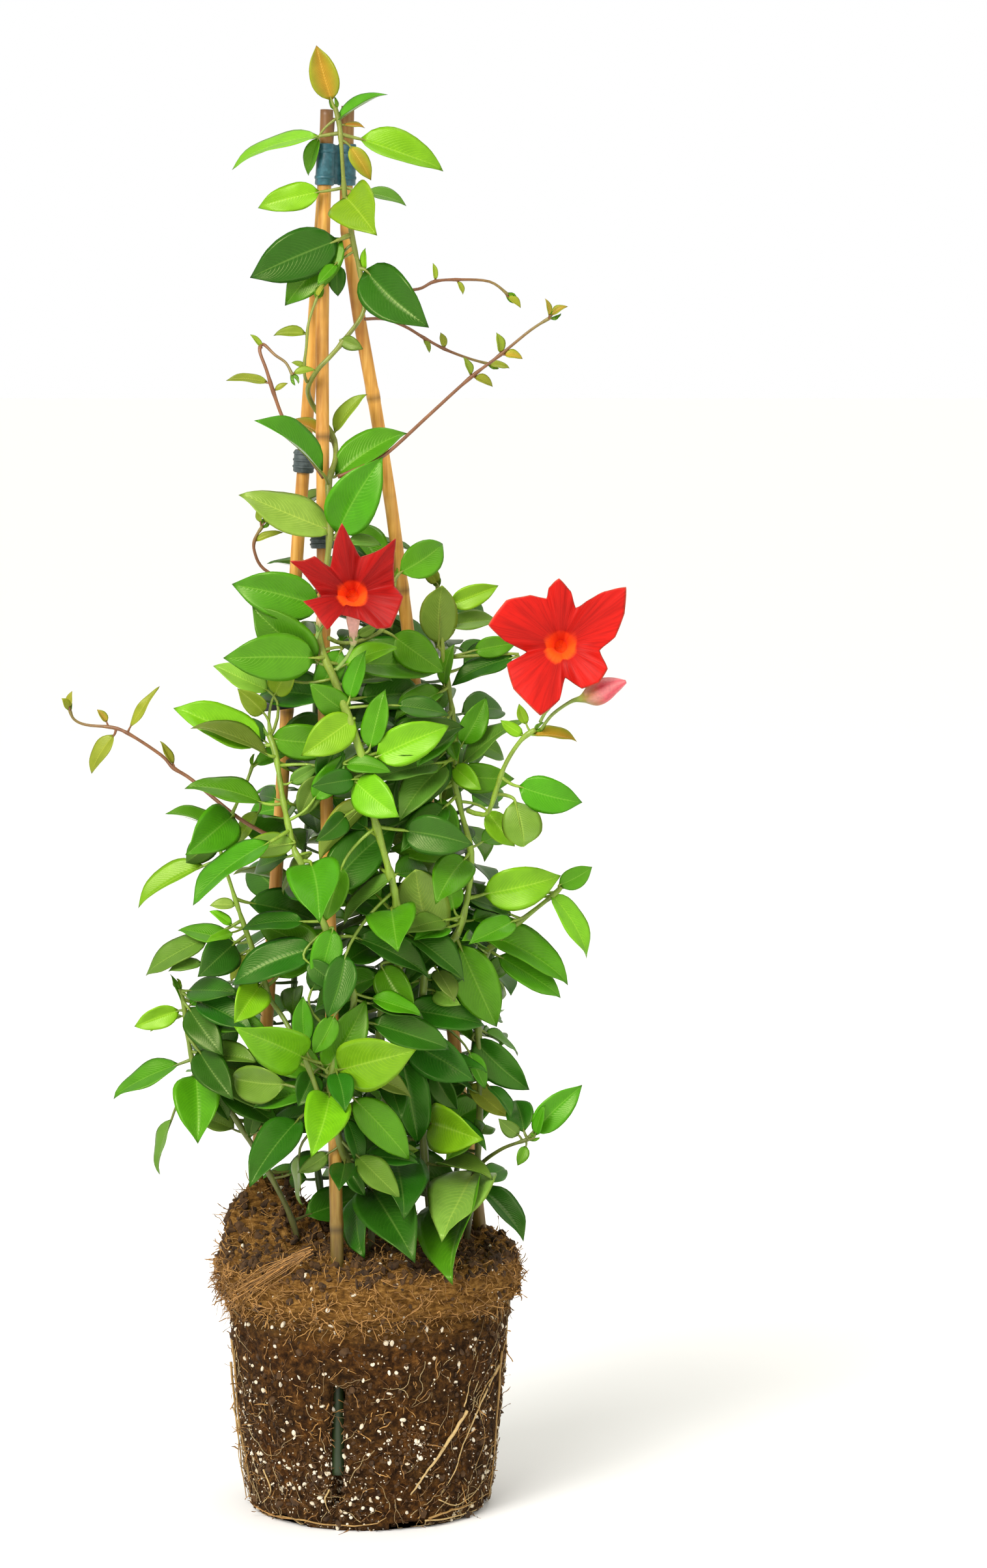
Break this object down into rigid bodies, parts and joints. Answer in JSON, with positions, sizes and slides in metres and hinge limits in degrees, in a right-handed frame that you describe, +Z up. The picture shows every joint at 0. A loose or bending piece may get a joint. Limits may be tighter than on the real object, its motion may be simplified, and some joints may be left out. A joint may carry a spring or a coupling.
{
  "type": "mandevilla",
  "caption": "Climbing plant with glossy pointed leaves and red trumpet flowers, twining up a cone of bamboo canes above a bare, pot-shaped root ball.",
  "frame": {"origin": "centre of the root ball's flat base", "axes": "+Z up along the plant, -Y towards the viewer of the front with both flowers, +X to the right as seen from the front"},
  "size_m": [0.302, 0.2005, 0.7926],
  "materials": {
    "bud_right": "pink and white closed bud",
    "buds_left": "pink and white closed bud",
    "cane_front": "orange-brown bamboo, dull sheen",
    "cane_left": "orange-brown bamboo, dull sheen",
    "cane_right": "orange-brown bamboo, dull sheen",
    "clip_top": "dark teal moulded plastic",
    "flower_left": "velvety red petals with an orange-red throat",
    "flower_left_tube": "pale green to pink flower tube",
    "flower_right": "velvety red petals with an orange-red throat",
    "flower_right_tube": "pale green to pink flower tube",
    "root_ball": "moist dark peat with coir fibre and white perlite",
    "shoot_flower_right": "glossy green leaves and smooth green stems",
    "shoot_left": "glossy green leaves and smooth green stems",
    "shoot_low_right": "glossy green leaves and smooth green stems",
    "shoot_middle": "glossy green leaves and smooth green stems",
    "stem_back_left": "darker green leaves and stems",
    "stem_back_middle": "darker green leaves and stems",
    "stem_back_right": "darker green leaves and stems",
    "stem_center": "glossy green leaves and smooth green stems",
    "stem_front": "glossy green leaves and smooth green stems",
    "stem_low_left": "glossy green leaves and smooth green stems",
    "stem_middle": "glossy green leaves and smooth green stems",
    "stem_right": "glossy green leaves and smooth green stems",
    "tie_front": "dark grey-green plastic",
    "tie_left": "dark grey-green plastic",
    "tie_loop": "dark grey-green plastic",
    "vine_curly": "thin green to red-brown twining shoot",
    "vine_far_left": "thin green to red-brown twining shoot",
    "vine_left": "thin green to red-brown twining shoot",
    "vine_right": "thin green to red-brown twining shoot",
    "vine_right_low": "thin green to red-brown twining shoot",
    "vine_right_top": "thin green to red-brown twining shoot",
    "vine_top_left": "thin green to red-brown twining shoot"
  },
  "bodies": {
    "root": {"bud_right": "bud_right", "buds_left": "buds_left", "cane_front": "cane_front", "cane_left": "cane_left", "cane_right": "cane_right", "clip_top": "clip_top", "flower_left": "flower_left", "flower_left_tube": "flower_left_tube", "flower_right": "flower_right", "flower_right_tube": "flower_right_tube", "root_ball": "root_ball", "shoot_flower_right": "shoot_flower_right", "shoot_left": "shoot_left", "shoot_low_right": "shoot_low_right", "shoot_middle": "shoot_middle", "stem_back_left": "stem_back_left", "stem_back_middle": "stem_back_middle", "stem_back_right": "stem_back_right", "stem_center": "stem_center", "stem_front": "stem_front", "stem_low_left": "stem_low_left", "stem_middle": "stem_middle", "stem_right": "stem_right", "tie_front": "tie_front", "tie_left": "tie_left", "tie_loop": "tie_loop", "vine_curly": "vine_curly", "vine_far_left": "vine_far_left", "vine_left": "vine_left", "vine_right": "vine_right", "vine_right_low": "vine_right_low", "vine_right_top": "vine_right_top", "vine_top_left": "vine_top_left"}
  },
  "joints": []
}
